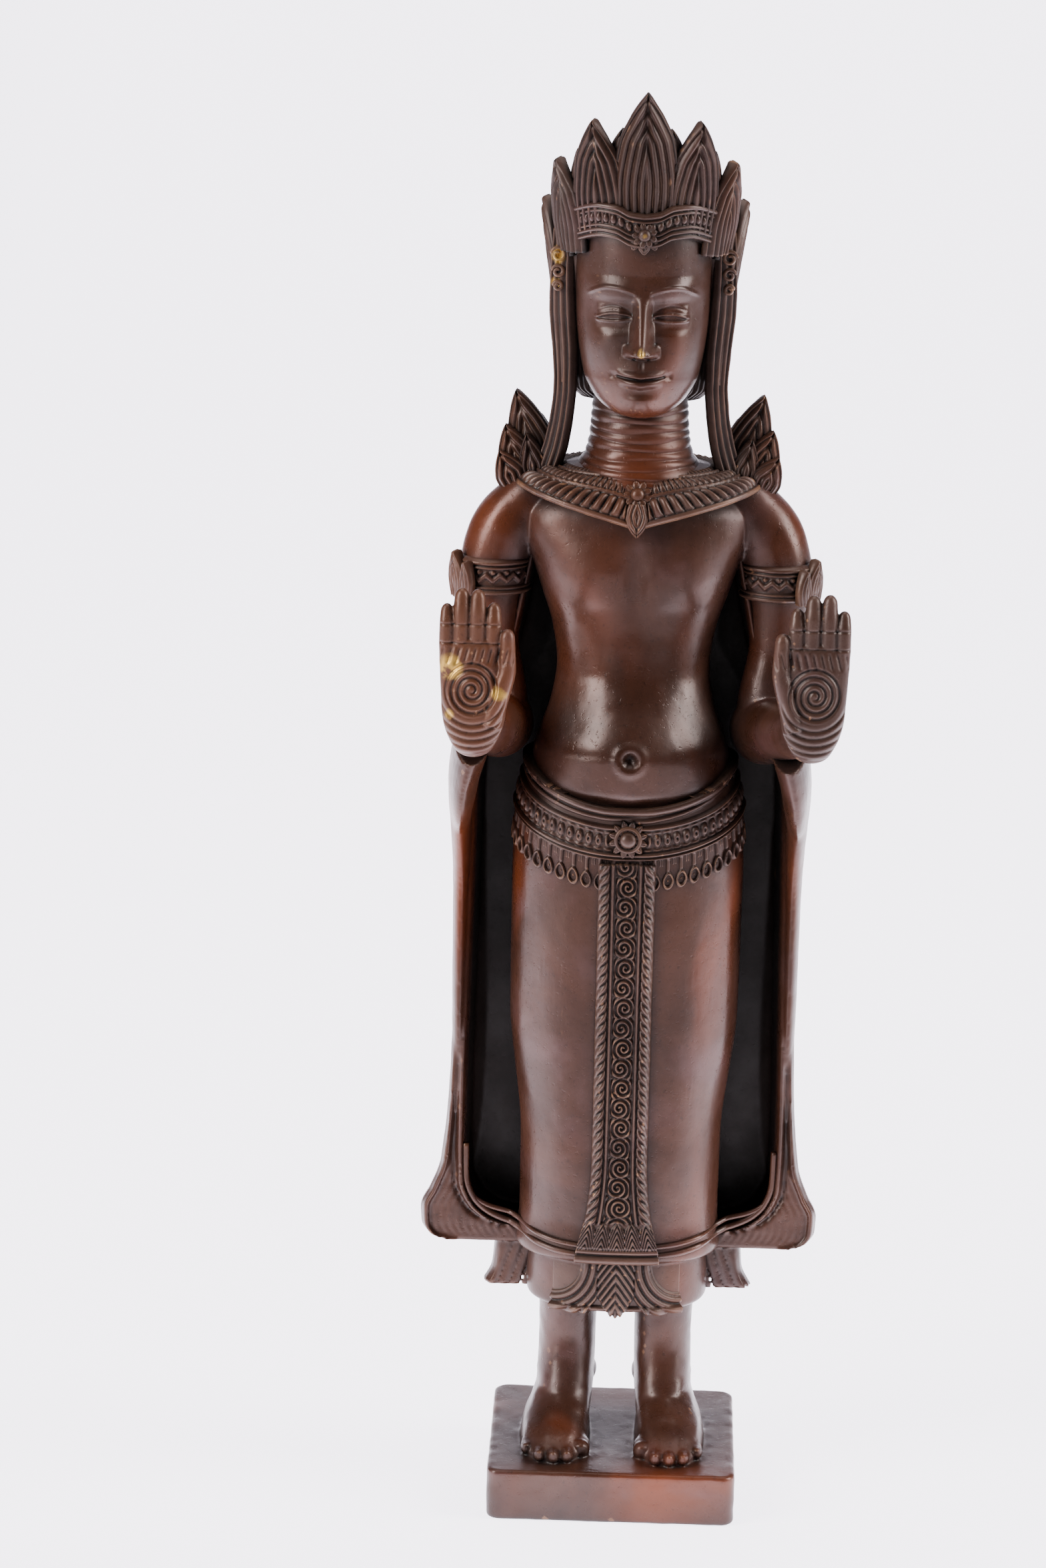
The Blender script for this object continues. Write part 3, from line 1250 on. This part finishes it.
def make_apron():
    bm = bmesh.new()
    bottom, top = 57.4, 151.0

    def surface(u, v):
        z = mix(bottom, top, v)
        return skirt_front(mix(-1, 1, u) * apron_half(z), z)

    def height(u, v):
        z = mix(bottom, top, v)
        half = apron_half(z)
        x = mix(-1, 1, u) * half
        side = abs(x)
        wide = mix(1.15, 1.6, clamp((half - 6.3) / 3.1))
        rope_at = half - wide - 0.25
        slant = z + (side - rope_at) * 1.1
        rope = (0.55 + 0.75 * ridge(slant, 2.3)) * roll(side, rope_at, wide)
        inner = rope_at - wide
        line = 0.85 * roll(side, inner - 0.55, 0.42)
        field = inner - 1.2
        chain = 0.75 * scroll_height(x, z) * (1 - ease(side, field - 0.5, field))
        foot = 1 - ease(z, 66.4, 67.2)
        pitch = half / 2.5
        off = abs(x / pitch - round(x / pitch)) * 2
        tall = 67.4 - 2.2 * off**1.5
        petal = 0.55 + 0.65 * ridge((z - tall) + 2.6 * off, 1.6) * (1 - ease(z, tall - 0.6, tall))
        plain = 0.8 + (rope + line + chain) * (1 - foot)
        lines = 0.9 * roll(z, 60.0, 0.55) + 0.9 * roll(z, 58.4, 0.7)
        return plain + foot * petal * ease(z, 60.2, 60.9) + lines

    carved(bm, 96, 420, surface, height, lambda p: Vector((0, -1, 0)))
    piece("apron", thinned(bm, 150000), CHASED, 0.05)


# Hem lines and the pleats of the under skirt.
def hem_path(side):
    for x, z in ((35.2, 80), (35.0, 72.5), (33.4, 67.4), (30.0, 64.0), (25.6, 62.0)):
        yield (x - 0.3, 0.2, z)
    for x, z in ((22.4, 61.2), (18.0, 60.2), (13.0, 59.4), (8.0, 59.0)):
        p = skirt_front(x, z)
        yield (x, p.y + 0.1, z)


def make_hems():
    bm = bmesh.new()
    for side in SIDES:
        for drop, wire in ((0.0, 0.75), (2.1, 0.6)):
            points = [(x, y, z + drop * (1 - ease(x, 26, 35)), wire, wire) for x, y, z in hem_path(side)]
            limb(bm, points, 12, 90, side)
    piece("hem_lines", bm, PATINA, 0.05)
    bm = bmesh.new()
    low, high = 44.9, 57.6

    def surface(u, v):
        p, facing = front_of(UNDER_SKIRT, mix(-14.5, 14.5, u), mix(low, high, v))
        return p

    def height(u, v):
        x, z = abs(mix(-14.5, 14.5, u)), mix(low, high, v)
        middle = 1.1 + 0.75 * ridge(z + x * 1.5 - 45, 2.1) - 0.22 * x
        bound = 4.3 * clamp((z - 44.6) / 4.5) ** 0.5
        inside = 1 - ease(x, bound - 0.4, bound + 0.1)
        away = math.hypot(x - 14.6, (z - 56.5) * 0.9)
        arcs = 0.35 + 0.85 * ridge(away, 1.6)
        flank = ease(away, 6.6, 7.2) * (1 - ease(away, 12.4, 13.0))
        hem = 0.7 * roll(z, 45.9, 0.55)
        return max(middle * inside, arcs * flank * (1 - inside)) + hem * (1 - inside)

    carved(bm, 150, 70, surface, height, lambda p: Vector((0, -1, 0)))
    piece("under_skirt_pleats", bm, CHASED, 0.05)


make_body()
make_robe()
make_feet()
make_hand(1, "right_hand")
make_hand(-1, "left_hand")
make_head()
make_neck()
make_hair()
make_crown()
make_brow_band()
make_ear_straps()
make_shoulder_leaves()
make_collar()
make_armlets()
make_belt()
make_apron()
make_hems()


# Stage, lights and camera.
def make_stage():
    f = Finish("studio_paper")
    apart = f.node("ShaderNodeSeparateXYZ", {"Vector": f.place}).outputs
    aside = f.node("ShaderNodeMath", {0: apart["X"]}, operation="ABSOLUTE").outputs["Value"]
    lit = f.sums("MULTIPLY", f.between(apart["Y"], -0.22, -0.04), f.between(aside, 0.3, 0.9, 1.0, 0.0))
    lit = f.sums("MULTIPLY", lit, f.between(apart["Z"], 0.25, 0.6, 1.0, 0.0))
    lit = f.blend(lit, (0, 0, 0, 1), colour(243, 238, 250))
    f.use(Base_Color=colour(232, 228, 236), Roughness=0.9, Specular_IOR_Level=0.1)
    f.use(Emission_Color=lit, Emission_Strength=4.2)
    bm = bmesh.new()

    def place(u, v):
        x = mix(-2.6, 2.6, u)
        run = mix(-1.6, 4.2, v)
        bend, radius = 1.2, 0.8
        turn = clamp((run - bend) / radius, 0, math.pi / 2)
        past = max(0.0, run - bend - radius * math.pi / 2)
        y = min(run, bend) + radius * math.sin(turn)
        z = radius * (1 - math.cos(turn)) + past
        return Vector((x, y, z))

    made = bmesh.ops.create_grid(bm, x_segments=4, y_segments=120, size=0.5)
    for v in made["verts"]:
        v.co = place(v.co.x + 0.5, v.co.y + 0.5)
    mesh = bpy.data.meshes.new("paper_sweep")
    bm.to_mesh(mesh)
    bm.free()
    mesh.materials.append(f.material)
    mesh.shade_smooth()
    sweep = bpy.data.objects.new("paper_sweep", mesh)
    bpy.context.scene.collection.objects.link(sweep)


def softbox(name, at, target, size, power, tint=(1.0, 0.98, 0.97)):
    light = bpy.data.lights.new(name, "AREA")
    light.shape = "RECTANGLE"
    light.size, light.size_y = size
    light.energy = power
    light.color = tint
    lamp = bpy.data.objects.new(name, light)
    lamp.location = at
    lamp.rotation_euler = (Vector(target) - Vector(at)).to_track_quat("-Z", "Y").to_euler()
    bpy.context.scene.collection.objects.link(lamp)


def make_lights():
    aim = (0, 0, 0.17)
    softbox("left_softbox", (-1.25, -0.75, 0.85), aim, (0.6, 1.3), 34)
    softbox("right_softbox", (1.45, -0.2, 0.85), aim, (0.6, 1.3), 34)
    softbox("top_softbox", (0.0, 0.2, 1.6), aim, (1.2, 1.0), 12)
    world = bpy.data.worlds.new("studio")
    world.use_nodes = True
    world.node_tree.nodes["Background"].inputs["Color"].default_value = (0.95, 0.95, 1.0, 1.0)
    world.node_tree.nodes["Background"].inputs["Strength"].default_value = 0.1
    bpy.context.scene.world = world


def make_camera():
    pitch, yaw, turn = (math.radians(a) for a in (14.31, 1.56, 1.25))
    forward = Vector((-math.sin(yaw) * math.cos(pitch), math.cos(yaw) * math.cos(pitch), -math.sin(pitch)))
    right = forward.cross(Vector((0, 0, 1))).normalized()
    up = right.cross(forward)
    across = right * math.cos(turn) + up * math.sin(turn)
    upward = up * math.cos(turn) - right * math.sin(turn)
    lens = bpy.data.cameras.new("camera")
    lens.sensor_width = 36
    lens.lens = 7093.4 / 2350 * 36
    lens.clip_start, lens.clip_end = 0.05, 50
    camera = bpy.data.objects.new("camera", lens)
    turned = Matrix((across, upward, -forward)).transposed().to_4x4()
    camera.matrix_world = Matrix.Translation(Vector((4.0, -1017.8, 424.0)) * MM) @ turned
    bpy.context.scene.collection.objects.link(camera)
    bpy.context.scene.camera = camera


make_stage()
make_lights()
make_camera()
